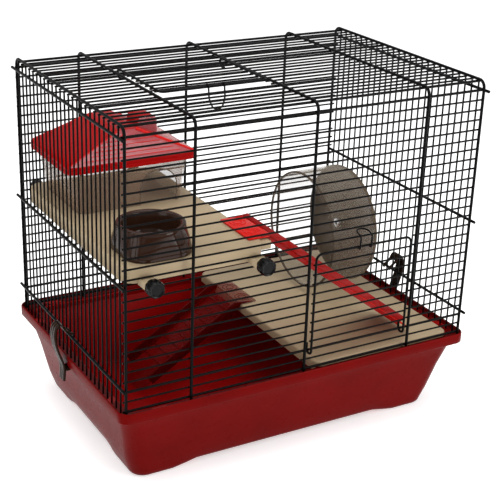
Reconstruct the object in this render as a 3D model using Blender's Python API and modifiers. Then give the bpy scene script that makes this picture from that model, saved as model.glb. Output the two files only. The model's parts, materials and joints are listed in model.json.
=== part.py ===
"""A hamster cage: a welded wire top with two doors on a deep plastic tray, with shelves, ladders and toys.

Metres, +Z up. The origin is on the floor under the middle of the cage. The front faces -Y, and the side
with the upper shelf and the house is -X. Run it in Blender 4.5, with blender --background --python part.py
or from the text editor. It builds one object for each piece, in the collection hamster_cage.
"""

from math import atan2, cos, pi, radians, sin

import bmesh
import bpy
from mathutils import Matrix, Vector

# The wire top
CAGE_HALF_X = 0.205  # centre of the outer hoops
CAGE_HALF_Y = 0.140  # centre of the hoops' front and back legs
CAGE_TOP = 0.3869  # centre of the hoops' top runs
WIRE_FOOT = 0.0915  # lower ends of the hoops, on the tray's ledge
HOOP_XS = (-0.205, -0.1335, 0.0, 0.1335, 0.205)
HOOP_RADIUS = 0.0016
HOOP_BEND = 0.008
BAR_RADIUS = 0.0010
BORDER_RADIUS = 0.0014
BAR_PITCH = 0.0108
FIRST_ROW = 0.0962  # height of the lowest row of the front and back
LAST_ROW = 26
BAR_INSET = 0.0029  # from a hoop's centre in to the bars' centre, 0.3 mm clear of the inner hoops
BORDER_INSET = 0.0022  # the border bars run into every hoop and so hold them together
BAR_REACH = 0.2050  # a bar's end, inside the outer hoop
OUTER_HOOP_INSET = 0.0017  # the outer hoops stand closer, so that the bars' ends run into them
TOP_ROWS = range(-12, 13)

# The side panels
SIDE_BAR_X = 0.2065
SIDE_RAIL_X = 0.2085
SIDE_RAIL_HEIGHTS = (0.121, 0.230, 0.376)
SIDE_RAIL_HALF = 0.1445

# The doors
DOOR_WIRE_RADIUS = 0.0013
HOOK_RADIUS = 0.0045  # centre line of a door's hooks around the bar it hangs on
FRONT_DOOR_X = (0.0065, 0.1255)
FRONT_DOOR_ROWS = (2, 12)  # the row it hangs on, and the row at its top
TOP_DOOR_X = (-0.1275, -0.0065)
TOP_DOOR_ROWS = (-5, 4)  # the row at its front, and the row it hangs on
LATCH_RADIUS = 0.0009
FRONT_LATCH_X, FRONT_LATCH_WIDTH = 0.0654, 0.0139
TOP_LATCH_X, TOP_LATCH_WIDTH = -0.067, 0.018

# The tray
TRAY_HEIGHT = 0.097
RIM_HALF = (0.2125, 0.1465)
RIM_DROP = 0.012
FOOT_HEIGHT = 0.0055  # of the edge between the feet

# The clips
CLIP_WIDTH = 0.014
CLIP_THICKNESS = 0.0024
CLAW_HEIGHTS = (0.0800, 0.0830)  # just under the tray's rim band

# The shelves, and what stands on them
UPPER_SHELF_TOP = 0.246
UPPER_SHELF_X = (-0.202, -0.047)
LOWER_SHELF_TOP = 0.0975
LOWER_SHELF_X = (0.0185, 0.195)
CLAMP_XS = (-0.181, -0.060)
CLAMP_ROW = 12.5  # the shelf's lugs pass between two bars
LUG_END = 0.1475
KNOB_FACE = 0.160
KNOB_RADIUS = 0.009
STUD_RADIUS = 0.0020
LADDER_WIDTH = 0.060
BOWL_CENTRE = (-0.157, -0.0945)
HOUSE_CENTRE = (-0.1265, 0.066)
HOUSE_EAVE = 0.293
WHEEL_X = (0.1036, 0.167)
WHEEL_CENTRE = (0.040, 0.173)
WHEEL_RADIUS = 0.070
PIN_RADIUS = 0.0030
GAP = 0.0003  # between pieces that touch


def row_height(row):
    return FIRST_ROW + BAR_PITCH * row


# Collections and materials


def clear_scene():
    for old in list(bpy.data.objects):
        bpy.data.objects.remove(old)


def new_collection(name):
    made = bpy.data.collections.new(name)
    bpy.context.scene.collection.children.link(made)
    return made


def plastic(name, colour, roughness, metallic=0.0):
    made = bpy.data.materials.new(name)
    made.use_nodes = True
    shader = made.node_tree.nodes["Principled BSDF"]
    shader.inputs["Base Color"].default_value = (*colour, 1)
    shader.inputs["Roughness"].default_value = roughness
    shader.inputs["Metallic"].default_value = metallic
    return made


clear_scene()
PARTS = new_collection("hamster_cage")
TOOLS = new_collection("tools")
BLACK_WIRE = plastic("black_wire", (0.012, 0.012, 0.013), 0.35, 0.3)
RED_TRAY = plastic("red_tray", (0.18, 0.011, 0.009), 0.3)
RED_CLEAR = plastic("red_clear", (0.45, 0.005, 0.005), 0.15)
BEIGE = plastic("beige", (0.40, 0.32, 0.22), 0.35)
BROWN = plastic("brown", (0.030, 0.012, 0.008), 0.2)
CLIP_BROWN = plastic("clip_brown", (0.10, 0.060, 0.038), 0.3)
BLACK = plastic("black", (0.010, 0.010, 0.010), 0.4)
CLEAR = plastic("clear", (0.75, 0.76, 0.76), 0.08)
SMOKE = plastic("smoke", (0.20, 0.16, 0.12), 0.12)
STEEL = plastic("steel", (0.55, 0.55, 0.56), 0.25, 1.0)


# Shapes, all drawn in world metres


def mesh_of(bm, name):
    bmesh.ops.recalc_face_normals(bm, faces=bm.faces)
    mesh = bpy.data.meshes.new(name)
    bm.to_mesh(mesh)
    bm.free()
    return mesh


def box(low, high):
    bm = bmesh.new()
    size = Vector(high) - Vector(low)
    middle = (Vector(high) + Vector(low)) / 2
    place = Matrix.Translation(middle) @ Matrix.Diagonal((*size, 1))
    bmesh.ops.create_cube(bm, size=1, matrix=place)
    return mesh_of(bm, "box")


FACET_TURN = Matrix.Rotation(0.11, 4, "Z")  # so that no facets of crossing rods lie in one plane


def rods(ends, radius, sides=6):
    """Straight round rods as one mesh, each from a (start, end) pair."""
    bm = bmesh.new()
    for start, end in ends:
        run = Vector(end) - Vector(start)
        turn = run.to_track_quat("Z", "Y").to_matrix().to_4x4()
        place = Matrix.Translation((Vector(start) + Vector(end)) / 2) @ turn @ FACET_TURN
        bmesh.ops.create_cone(
            bm,
            cap_ends=True,
            segments=sides,
            radius1=radius,
            radius2=radius,
            depth=run.length,
            matrix=place,
        )
    return mesh_of(bm, "rods")


def mesh_from_curve(curve):
    """The mesh of a curve object, with its caps welded on. The curve is removed."""
    drawn = bpy.data.objects.new("drawn", curve)
    bpy.context.scene.collection.objects.link(drawn)
    graph = bpy.context.evaluated_depsgraph_get()
    mesh = bpy.data.meshes.new_from_object(drawn.evaluated_get(graph))
    bpy.data.objects.remove(drawn)
    bpy.data.curves.remove(curve)
    bm = bmesh.new()
    bm.from_mesh(mesh)
    bpy.data.meshes.remove(mesh)
    bmesh.ops.remove_doubles(bm, verts=bm.verts, dist=1e-6)
    return mesh_of(bm, "curve")


def bent_wires(paths, radius):
    """Round wires along the given paths, as one mesh."""
    curve = bpy.data.curves.new("wire", "CURVE")
    curve.dimensions = "3D"
    curve.bevel_depth = radius
    curve.bevel_resolution = 2
    curve.use_fill_caps = True
    for points in paths:
        line = curve.splines.new("POLY")
        line.points.add(len(points) - 1)
        for spot, place in zip(line.points, points):
            spot.co = (*place, 1)
    return mesh_from_curve(curve)


def prism(outline, thickness, place):
    """A flat outline in the XY plane, thickened evenly to both sides and then put in its place."""
    curve = bpy.data.curves.new("outline", "CURVE")
    curve.dimensions = "2D"
    curve.fill_mode = "BOTH"
    curve.extrude = thickness / 2
    line = curve.splines.new("POLY")
    line.points.add(len(outline) - 1)
    for spot, (x, y) in zip(line.points, outline):
        spot.co = (x, y, 0, 1)
    line.use_cyclic_u = True
    mesh = mesh_from_curve(curve)
    mesh.transform(place)
    return mesh


def upright(y):
    """Stands an outline up: its x stays X and its y becomes Z, in the plane at the given Y."""
    return Matrix.Translation((0, y, 0)) @ Matrix.Rotation(pi / 2, 4, "X")


def ring(centre, half, corner, height, steps=4):
    """A level rectangle with round corners, as points in order."""
    points = []
    for quarter, (side_x, side_y) in enumerate(((1, 1), (-1, 1), (-1, -1), (1, -1))):
        for step in range(steps + 1):
            turn = (quarter + step / steps) * pi / 2
            x = centre[0] + side_x * (half[0] - corner) + corner * cos(turn)
            y = centre[1] + side_y * (half[1] - corner) + corner * sin(turn)
            points.append(Vector((x, y, height)))
    return points


def loft(rings, round_again=False):
    """A closed skin through rings of equal count: capped at both ends, or run back to the first ring."""
    bm = bmesh.new()
    loops = [[bm.verts.new(point) for point in points] for points in rings]
    pairs = list(zip(loops, loops[1:]))
    if round_again:
        pairs.append((loops[-1], loops[0]))
    else:
        bm.faces.new(loops[0])
        bm.faces.new(loops[-1])
    for lower, upper in pairs:
        for i, corner in enumerate(lower):
            j = (i + 1) % len(lower)
            bm.faces.new((corner, lower[j], upper[j], upper[i]))
    return mesh_of(bm, "loft")


def arc(centre, radius, start, end, steps):
    """Points on a flat arc, from one angle to another in degrees."""
    turns = [radians(start + (end - start) * step / steps) for step in range(steps + 1)]
    return [(centre[0] + radius * cos(turn), centre[1] + radius * sin(turn)) for turn in turns]


def ribbon(line, thickness):
    """The outline of an even strip along a flat line."""
    sides = ([], [])
    for i, point in enumerate(line):
        before = Vector(line[max(i - 1, 0)])
        after = Vector(line[min(i + 1, len(line) - 1)])
        across = (after - before).normalized().orthogonal() * thickness / 2
        sides[0].append(tuple(Vector(point) + across))
        sides[1].append(tuple(Vector(point) - across))
    return sides[0] + sides[1][::-1]


# Parts


def part(name, mesh, look, origin=(0, 0, 0), angle=30):
    """A named piece with its origin at the given point, which is on its joint's axis if it moves."""
    mesh.transform(Matrix.Translation(-Vector(origin)))
    mesh.materials.append(look)
    mesh.shade_smooth()
    mesh.set_sharp_from_angle(angle=radians(angle))
    made = bpy.data.objects.new(name, mesh)
    made.location = origin
    PARTS.objects.link(made)
    return made


def turned_part(name, profile, look, place, steps):
    """A piece turned from a closed (radius, height) profile whose outer side runs down."""
    mesh = bpy.data.meshes.new(name)
    points = [(radius, 0, height) for radius, height in profile]
    edges = [(i, (i + 1) % len(points)) for i in range(len(points))]
    mesh.from_pydata(points, edges, [])
    mesh.materials.append(look)
    made = bpy.data.objects.new(name, mesh)
    made.matrix_world = place
    PARTS.objects.link(made)
    screw = made.modifiers.new("turn", "SCREW")
    screw.steps = steps
    screw.render_steps = steps
    screw.use_merge_vertices = True
    screw.merge_threshold = 1e-5
    screw.use_smooth_shade = True
    return made


def combine(made, meshes, operation):
    """Joins meshes to a piece, or cuts them out of it, one after the other."""
    for mesh in meshes:
        tool = bpy.data.objects.new(made.name + "_tool", mesh)
        tool.hide_render = True
        tool.display_type = "WIRE"
        TOOLS.objects.link(tool)
        step = made.modifiers.new(operation.lower(), "BOOLEAN")
        step.operation = operation
        step.object = tool
        step.solver = "EXACT"


def join(made, *meshes):
    combine(made, meshes, "UNION")


def cut(made, *meshes):
    combine(made, meshes, "DIFFERENCE")


# The wire top


def hoop_y(x):
    """How far from the middle a hoop's legs stand."""
    if abs(x) == CAGE_HALF_X:
        return CAGE_HALF_Y - OUTER_HOOP_INSET
    return CAGE_HALF_Y


def add_face_grille(name, side, door_rows=range(0)):
    """The front (side -1) or back (side 1): five hoop legs, border bars and a bar on every other row."""
    leg_top = CAGE_TOP - HOOP_BEND - GAP
    legs = [((x, side * hoop_y(x), WIRE_FOOT), (x, side * hoop_y(x), leg_top)) for x in HOOP_XS]
    borders = {0, FRONT_DOOR_ROWS[0], LAST_ROW}
    border_y = side * (CAGE_HALF_Y - BORDER_INSET)
    bar_y = side * (CAGE_HALF_Y - BAR_INSET)
    door_left, door_right = HOOP_XS[2], HOOP_XS[3]
    shy = HOOP_RADIUS + GAP
    border_ends = []
    bar_ends = []
    for row in range(LAST_ROW + 1):
        z = row_height(row)
        if row in borders:
            border_ends.append(((-BAR_REACH, border_y, z), (BAR_REACH, border_y, z)))
        elif row in door_rows:
            bar_ends.append(((-BAR_REACH, bar_y, z), (door_left - shy, bar_y, z)))
            bar_ends.append(((door_right + shy, bar_y, z), (BAR_REACH, bar_y, z)))
        else:
            bar_ends.append(((-BAR_REACH, bar_y, z), (BAR_REACH, bar_y, z)))
    grille = part(name, rods(legs, HOOP_RADIUS, 8), BLACK_WIRE)
    join(grille, rods(border_ends, BORDER_RADIUS, 8), rods(bar_ends, BAR_RADIUS))


def hoop_top(x):
    """The path of one hoop's bends and top run, from front to back."""
    reach = hoop_y(x)
    middle = reach - HOOP_BEND
    height = CAGE_TOP - HOOP_BEND
    front = arc((-middle, height), HOOP_BEND, 180, 90, 4)
    back = arc((middle, height), HOOP_BEND, 90, 0, 4)
    return [(x, y, z) for y, z in front + back]


def add_top_grille():
    """The hoops' top runs with their bends, and the rows of bars under them."""
    border_z = CAGE_TOP - BORDER_INSET
    bar_z = CAGE_TOP - BAR_INSET
    first, last = TOP_DOOR_ROWS
    left, right = HOOP_XS[1], HOOP_XS[2]
    shy = HOOP_RADIUS + GAP
    borders = {TOP_ROWS[0], last, TOP_ROWS[-1]}
    border_ends = []
    bar_ends = []
    for row in TOP_ROWS:
        y = BAR_PITCH * row
        if row in borders:
            border_ends.append(((-BAR_REACH, y, border_z), (BAR_REACH, y, border_z)))
        elif first <= row < last:
            bar_ends.append(((-BAR_REACH, y, bar_z), (left - shy, y, bar_z)))
            bar_ends.append(((right + shy, y, bar_z), (BAR_REACH, y, bar_z)))
        else:
            bar_ends.append(((-BAR_REACH, y, bar_z), (BAR_REACH, y, bar_z)))
    grille = part("top_grille", bent_wires([hoop_top(x) for x in HOOP_XS], HOOP_RADIUS), BLACK_WIRE)
    end_z = CAGE_TOP - OUTER_HOOP_INSET
    reach = BAR_PITCH * (TOP_ROWS[-1] + 0.5)
    ends = [((x, -reach, end_z), (x, reach, end_z)) for x in (-CAGE_HALF_X, CAGE_HALF_X)]
    thick = rods(ends, HOOP_RADIUS, 8)
    join(grille, rods(border_ends, BORDER_RADIUS, 8), thick, rods(bar_ends, BAR_RADIUS))


def add_side_grille(name, side):
    """An end panel: upright bars behind three heavier rails, whose ends pass the corners."""
    x = side * SIDE_RAIL_X
    rails = [((x, -SIDE_RAIL_HALF, z), (x, SIDE_RAIL_HALF, z)) for z in SIDE_RAIL_HEIGHTS]
    bar_x = side * SIDE_BAR_X
    bar_top = CAGE_TOP - HOOP_RADIUS - 2 * GAP - BORDER_RADIUS
    places = [BAR_PITCH * row for row in TOP_ROWS]
    bars = [((bar_x, y, WIRE_FOOT), (bar_x, y, bar_top)) for y in places]
    grille = part(name, rods(rails, HOOP_RADIUS, 8), BLACK_WIRE)
    join(grille, rods(bars, BAR_RADIUS))


# The doors and their latches


def add_front_door():
    """A wire frame with round top corners, hooked at the bottom around the grille's bar."""
    low, high = (row_height(row) for row in FRONT_DOOR_ROWS)
    hinge = Vector((0, -(CAGE_HALF_Y - BORDER_INSET), low))
    plane = hinge.y - HOOK_RADIUS
    left, right = FRONT_DOOR_X
    corner = 0.007
    top = high + 0.0015
    hook = arc((hinge.y, low), HOOK_RADIUS, 180, 360, 6)
    tail = [(hinge.y + HOOK_RADIUS, low + 0.006)]
    down = [(left, y, z) for y, z in (hook + tail)][::-1]
    up = [(right, y, z) for y, z in (hook + tail)]
    over = arc((left + corner, top - corner), corner, 180, 90, 4)
    over += arc((right - corner, top - corner), corner, 90, 0, 4)
    frame = bent_wires([down + [(x, plane, z) for x, z in over] + up], DOOR_WIRE_RADIUS)
    door = part("front_door", frame, BLACK_WIRE, hinge)
    bar_y = plane + DOOR_WIRE_RADIUS
    rows = [row_height(row) for row in range(FRONT_DOOR_ROWS[0] + 1, FRONT_DOOR_ROWS[1])]
    join(door, rods([((left, bar_y, z), (right, bar_y, z)) for z in rows], BAR_RADIUS))


def add_front_latch():
    """A spring wire loop on the front door's top wire, bent in between the two bars above the door."""
    x, width = FRONT_LATCH_X, FRONT_LATCH_WIDTH
    y = -(CAGE_HALF_Y - BORDER_INSET) - HOOK_RADIUS
    z = row_height(FRONT_DOOR_ROWS[1]) + 0.0015
    foot = DOOR_WIRE_RADIUS + LATCH_RADIUS + 2 * GAP
    side = [(0.0, -foot), (-foot, 0.0), (-foot, 0.0090), (0.0, 0.0128), (0.0060, 0.0143)]
    feet = [(foot * 0.7, -foot * 0.7)]
    half = [(x - width / 2, y + dy, z + dz) for dy, dz in feet + side]
    other = [(x + width / 2, y + dy, z + dz) for dy, dz in feet + side][::-1]
    tip = [(x - width / 4, y + 0.0103, z + 0.0150), (x + width / 4, y + 0.0103, z + 0.0150)]
    part("front_latch", bent_wires([half + tip + other], LATCH_RADIUS), BLACK_WIRE, (x, y, z))


def add_top_door():
    """A wire frame on top of the cage, hooked at the back around the grille's bar."""
    first, last = TOP_DOOR_ROWS
    hinge = Vector((0, BAR_PITCH * last, CAGE_TOP - BORDER_INSET))
    plane = hinge.z + HOOK_RADIUS
    left, right = TOP_DOOR_X
    front = BAR_PITCH * first
    corner = 0.005
    hook = arc((hinge.y, hinge.z), HOOK_RADIUS, 90, -90, 6)
    tail = [(hinge.y - 0.005, hinge.z - HOOK_RADIUS)]
    start = [(left, y, z) for y, z in (hook + tail)][::-1]
    finish = [(right, y, z) for y, z in (hook + tail)]
    across = arc((left + corner, front + corner), corner, 180, 270, 4)
    across += arc((right - corner, front + corner), corner, 270, 360, 4)
    frame = bent_wires([start + [(x, y, plane) for x, y in across] + finish], DOOR_WIRE_RADIUS)
    door = part("top_door", frame, BLACK_WIRE, hinge)
    bar_z = plane - DOOR_WIRE_RADIUS
    rows = [BAR_PITCH * row for row in range(first + 1, last)]
    join(door, rods([((left, y, bar_z), (right, y, bar_z)) for y in rows], BAR_RADIUS))


def add_top_latch():
    """A spring wire loop on the top door's front wire, hanging inside in front of it."""
    x, width = TOP_LATCH_X, TOP_LATCH_WIDTH
    y = BAR_PITCH * TOP_DOOR_ROWS[0]
    z = CAGE_TOP - BORDER_INSET + HOOK_RADIUS
    foot = DOOR_WIRE_RADIUS + LATCH_RADIUS + 2 * GAP
    side = [(foot, 0.0), (0.0, foot), (-foot, 0.0), (-foot - 0.0018, -0.007)]
    half = [(x - width / 2, y + dy, z + dz) for dy, dz in side]
    other = [(x + width / 2, y + dy, z + dz) for dy, dz in side][::-1]
    tip = [(x - 0.001, y - 0.0058, z - 0.0215), (x + 0.001, y - 0.0058, z - 0.0215)]
    part("top_latch", bent_wires([half + tip + other], LATCH_RADIUS), BLACK_WIRE, (x, y, z))


# The tray and its clips


def add_tray():
    """A deep tub with a flat floor on four feet, a ledge for the wire top and a rim band outside."""
    rim_x, rim_y = RIM_HALF
    under = TRAY_HEIGHT - RIM_DROP
    outside = [
        ((0.1815, 0.1137), 0.013, 0.0),
        ((0.1842, 0.1164), 0.015, 0.0018),
        ((0.1858, 0.1180), 0.016, 0.0050),
        ((0.1914, 0.1224), 0.018, 0.0210),
        ((0.1977, 0.1311), 0.019, 0.0530),
        ((0.2059, 0.1408), 0.019, under),
        ((rim_x, rim_y), 0.012, under),
        ((rim_x, rim_y), 0.012, TRAY_HEIGHT),
    ]
    inside = [
        ((rim_x - 0.0018, rim_y - 0.0018), 0.0102, TRAY_HEIGHT),
        ((rim_x - 0.0018, rim_y - 0.0018), 0.0102, WIRE_FOOT - GAP),
        ((0.1985, 0.1335), 0.010, WIRE_FOOT - GAP),
        ((0.1985, 0.1335), 0.010, 0.0890),
        ((0.2034, 0.1383), 0.017, 0.0820),
        ((0.1954, 0.1288), 0.017, 0.0530),
        ((0.1892, 0.1202), 0.016, 0.0210),
        ((0.1858, 0.1174), 0.015, 0.0115),
        ((0.1810, 0.1130), 0.012, 0.0080),
    ]
    rings = [ring((0, 0), half, corner, height, 5) for half, corner, height in outside + inside]
    tray = part("tray", loft(rings), RED_TRAY)
    arch = [(-0.165, -0.01), (0.165, -0.01), (0.113, FOOT_HEIGHT), (-0.113, FOOT_HEIGHT)]
    side_arch = [(-0.085, -0.01), (0.085, -0.01), (0.045, FOOT_HEIGHT), (-0.045, FOOT_HEIGHT)]
    turn = Matrix.Rotation(pi / 2, 4, "Z")
    cut(tray, prism(arch, 0.4, upright(0)), prism(side_arch, 0.5, turn @ upright(0)))


def add_clip(name, side):
    """A strap over the lower side rail: it bulges out, catches under the rim and ends in a tab."""
    pivot = Vector((SIDE_RAIL_X, 0, SIDE_RAIL_HEIGHTS[0]))
    strap = [(0.0062, 0.0085), (0.0085, 0.0130), (0.0118, 0.0148), (0.0153, 0.0120), (0.0175, 0.0040)]
    strap += [(0.0165, -0.0080), (0.0130, -0.0200), (0.0085, -0.0320), (0.0075, -0.0400), (0.0085, -0.0520)]
    prong = arc((0, 0), 0.0032, -160, -270, 6) + [(0.0070, 0.0095)]
    claw_low, claw_high = CLAW_HEIGHTS
    half = CLIP_WIDTH / 2 - 0.001
    pieces = [prism(ribbon(strap, CLIP_THICKNESS), CLIP_WIDTH, upright(0))]
    for y in (-BAR_PITCH / 2, BAR_PITCH / 2):
        pieces.append(prism(ribbon(prong, 0.0016), 0.0030, upright(y)))
    for mesh in pieces:
        mesh.transform(Matrix.Translation(pivot))
    pieces.append(box((0.2090, -half, claw_low), (0.2168, half, claw_high)))
    for mesh in pieces:
        if side < 0:
            mesh.transform(Matrix.Diagonal((-1, 1, 1, 1)))
            mesh.flip_normals()
    clip = part(name, pieces[0], CLIP_BROWN, (side * pivot.x, 0, pivot.z))
    join(clip, *pieces[1:])


# The shelves and their clamps


def add_upper_shelf():
    """A flat shelf with a deep lip, open underneath, and a low tongue where the ladder hooks on."""
    left, right = UPPER_SHELF_X
    half = ((right - left) / 2, 0.132)
    middle = ((left + right) / 2, 0)
    top = UPPER_SHELF_TOP
    lip = top - 0.017
    thin = 0.0022
    inner = (half[0] - thin, half[1] - thin)
    rings = [
        ring(middle, inner, 0.013, top - thin),
        ring(middle, inner, 0.013, lip),
        ring(middle, half, 0.015, lip),
        ring(middle, half, 0.015, top - 0.001),
        ring(middle, (half[0] - 0.001, half[1] - 0.001), 0.014, top),
    ]
    shelf = part("upper_shelf", loft(rings), BEIGE)
    tongue = box((right - 0.002, -0.126, top - 0.010), (right + 0.009, -0.054, top - 0.0015))
    middle_z = row_height(CLAMP_ROW)
    lugs = []
    bores = []
    for x in CLAMP_XS:
        for side in (-1, 1):
            near, far = sorted((side * 0.131, side * LUG_END))
            lugs.append(box((x - 0.007, near, middle_z - 0.0038), (x + 0.007, far, middle_z + 0.0038)))
            ends = ((x, side * (LUG_END - 0.008), middle_z), (x, side * (LUG_END + 0.001), middle_z))
            bores.append(ends)
    join(shelf, tongue, *lugs)
    cut(shelf, rods(bores, STUD_RADIUS + GAP, 12))


def add_lower_shelf():
    """A low shelf across the tray's mouth: its edges rest on the ledge, and its left edge drops further."""
    left, right = LOWER_SHELF_X
    middle = ((left + right) / 2, -0.0015)
    half = ((right - left) / 2, 0.1340)
    top = LOWER_SHELF_TOP
    low = WIRE_FOOT
    rings = [
        ring(middle, half, 0.009, low),
        ring(middle, half, 0.009, top - 0.001),
        ring(middle, (half[0] - 0.001, half[1] - 0.001), 0.008, top),
    ]
    shelf = part("lower_shelf", loft(rings), BEIGE)
    hollow_half = (half[0] - 0.008, half[1] - 0.008)
    hollow = [ring(middle, hollow_half, 0.004, height) for height in (low - 0.01, top - 0.0024)]
    cut(shelf, loft(hollow))
    drop = 0.086
    join(
        shelf,
        box((left + 0.0006, -0.1310, drop), (left + 0.0030, 0.1290, low + 0.002)),
        box((0.186, -0.060, low), (0.1995, -0.040, low + 0.0025)),
        box((0.186, 0.080, low), (0.1995, 0.100, low + 0.0025)),
        box((0.060, 0.125, low), (0.080, 0.1375, low + 0.0025)),
        box((0.150, 0.125, low), (0.170, 0.1375, low + 0.0025)),
    )


def add_clamp_knob(name, x, side):
    """A black hand nut outside the bars, with the stud that screws into the shelf's lug."""

    def at(y):
        return (x, side * y, row_height(CLAMP_ROW))

    nut = rods([(at(LUG_END + GAP), at(KNOB_FACE))], KNOB_RADIUS, 20)
    knob = part(name, nut, BLACK, at(KNOB_FACE))
    join(knob, rods([(at(LUG_END - 0.0065), at(LUG_END + 0.002))], STUD_RADIUS, 10))
    cut(knob, rods([(at(KNOB_FACE - 0.0015), at(KNOB_FACE + 0.003))], 0.0055, 16))


# The ladders


def add_ladder(name, hook_end, hook_length, ramp_start, ramp_end, centre_y, width, sign):
    """A ramp with side rails and ribs, hung by a flat hook plate. Sign is 1 if it runs down towards +X."""
    thin = 0.0020
    rail = 0.0020
    start = Vector(ramp_start)
    run = Vector(ramp_end) - start
    slope = atan2(-run.y, run.x)
    length = run.length
    hook_z = hook_end[1]
    corner = 0.014
    deck = [(0.0, -width / 2), (length - corner, -width / 2)]
    deck += arc((length - corner, -width / 2 + corner), corner, -90, 0, 5)[1:]
    deck += arc((length - corner, width / 2 - corner), corner, 0, 90, 5)
    deck += [(0.0, width / 2)]
    tilt = Matrix.Translation((start.x, 0, start.y)) @ Matrix.Rotation(slope, 4, "Y")
    pieces = [prism(deck, thin, tilt)]
    plate_end = hook_end[0] + hook_length
    pieces.append(box((hook_end[0], -width / 2, hook_z), (plate_end, width / 2, hook_z + thin)))
    rail_low, rail_high = 0.0045, 0.0075
    foot = length - corner - 0.004
    gusset = [(hook_end[0] + 0.004, hook_z + 0.0010), (plate_end - 0.001, hook_z + 0.0010)]
    lower = [tilt @ Vector((0.005, 0, -rail_low)), tilt @ Vector((foot, 0, -rail_low))]
    upper = [tilt @ Vector((foot, 0, rail_high)), tilt @ Vector((0.004, 0, rail_high))]
    side = gusset + [(point.x, point.z) for point in lower + upper]
    for y in (-width / 2 + rail / 2, width / 2 - rail / 2):
        pieces.append(prism(side, rail, upright(y)))
    pitch = 0.0145
    inner = width / 2 - rail / 2
    for step in range(1, int(foot / pitch)):
        near = pitch * step
        rib = box((near, -inner, 0), (near + 0.002, inner, 0.0025))
        rib.transform(tilt)
        pieces.append(rib)
    place = Matrix.Translation((0, centre_y, 0)) @ Matrix.Diagonal((sign, 1, 1, 1))
    for mesh in pieces:
        mesh.transform(place)
        if sign < 0:
            mesh.flip_normals()
    ladder = part(name, pieces[0], RED_CLEAR, (sign * hook_end[0], centre_y, hook_z))
    join(ladder, *pieces[1:])


def add_ladders():
    hook = UPPER_SHELF_TOP + GAP
    shelf_edge = UPPER_SHELF_X[1] + 0.009
    foot = (0.1530, LOWER_SHELF_TOP + 0.0052)
    start = (shelf_edge + 0.0015, hook + 0.0002)
    add_ladder("upper_ladder", (-0.061, hook), 0.0245, start, foot, -0.090, LADDER_WIDTH, 1)
    hook = LOWER_SHELF_TOP + GAP
    shelf_edge = -LOWER_SHELF_X[0]
    foot = (0.1135, 0.0136)
    start = (shelf_edge + 0.0015, hook + 0.0002)
    add_ladder("lower_ladder", (-0.038, hook), 0.021, start, foot, 0.0565, LADDER_WIDTH, -1)


# The house, the bowl and the wheel


def add_house():
    """A clear base with an arched doorway, under a hipped roof with a chimney that lifts off."""
    centre = HOUSE_CENTRE
    floor = UPPER_SHELF_TOP + GAP
    wall = 0.0018
    rings = []
    for inset in (0, wall):
        levels = ((floor, (0.060, 0.050), 0.010), (HOUSE_EAVE + 0.0060, (0.0690, 0.0530), 0.012))
        pair = [
            ring(centre, (half[0] - inset, half[1] - inset), corner - inset, height)
            for height, half, corner in levels
        ]
        rings += pair if inset == 0 else pair[::-1]
    base = part("house_base", loft(rings, round_again=True), CLEAR)
    door_x, door_radius, spring = -0.0950, 0.0215, floor + 0.017
    doorway = arc((door_x, spring), door_radius, 0, 180, 10)
    doorway += [(door_x - door_radius, floor - 0.01), (door_x + door_radius, floor - 0.01)]
    cut(base, prism(doorway, 0.030, upright(centre[1] - 0.052)))
    add_roof(centre)


def add_roof(centre):
    """Eave band, four slopes and a flat top, hollow, with the chimney let into the right slope."""
    eave_half, corner = (0.0745, 0.0570), 0.009
    top_centre, top_half = (centre[0] + 0.001, centre[1]), (0.0100, 0.0375)
    top = HOUSE_EAVE + 0.035
    band = HOUSE_EAVE + 0.008
    wall = 0.0018

    def skin(inset, rise):
        half = (eave_half[0] - inset, eave_half[1] - inset)
        shoulder = (half[0] - 0.0005, half[1] - 0.0005)
        peak = (top_half[0] - inset * 0.6, top_half[1] - inset * 0.6)
        return loft(
            [
                ring(centre, half, corner - inset, HOUSE_EAVE + rise),
                ring(centre, half, corner - inset, band - inset),
                ring(centre, shoulder, corner - inset, band + 0.0006 - inset),
                ring(top_centre, peak, 0.002, top - inset * 1.1),
            ]
        )

    def chimney(inset, foot):
        half, height, rounding = 0.0115 - inset, HOUSE_EAVE + 0.040 - inset, 0.007 - inset
        x = centre[0] + 0.035
        outline = [(x - half, foot), (x + half, foot)]
        outline += arc((x + half - rounding, height - rounding), rounding, 0, 90, 5)
        outline += arc((x - half + rounding, height - rounding), rounding, 90, 180, 5)
        return prism(outline, 0.028 - 2 * inset, upright(centre[1]))

    roof = part("house_roof", skin(0, 0), RED_CLEAR)
    join(roof, chimney(0, HOUSE_EAVE + 0.010))
    cut(roof, skin(wall, -0.004), chimney(wall, HOUSE_EAVE + 0.006))


def add_bowl():
    """A food bowl: a square foot with round corners that turns into a round mouth."""
    floor = UPPER_SHELF_TOP + GAP
    outside = [
        ((0.0355, 0.0355), 0.0200, 0.0),
        ((0.0365, 0.0365), 0.0220, 0.0015),
        ((0.0361, 0.0361), 0.0270, 0.0100),
        ((0.0352, 0.0352), 0.0335, 0.0200),
        ((0.0347, 0.0347), 0.0346, 0.0262),
        ((0.0338, 0.0338), 0.0337, 0.0280),
    ]
    inside = [
        ((0.0302, 0.0302), 0.0301, 0.0280),
        ((0.0290, 0.0290), 0.0289, 0.0262),
        ((0.0258, 0.0258), 0.0257, 0.0100),
        ((0.0215, 0.0215), 0.0214, 0.0045),
    ]
    section = outside + inside
    rings = [ring(BOWL_CENTRE, half, corner, floor + rise, 6) for half, corner, rise in section]
    part("feed_bowl", loft(rings), BROWN, (*BOWL_CENTRE, floor))


def along_x(x, y, z):
    """Turns a profile's height to run along -X from the given point."""
    return Matrix.Translation((x, y, z)) @ Matrix.Rotation(-pi / 2, 4, "Y")


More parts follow.
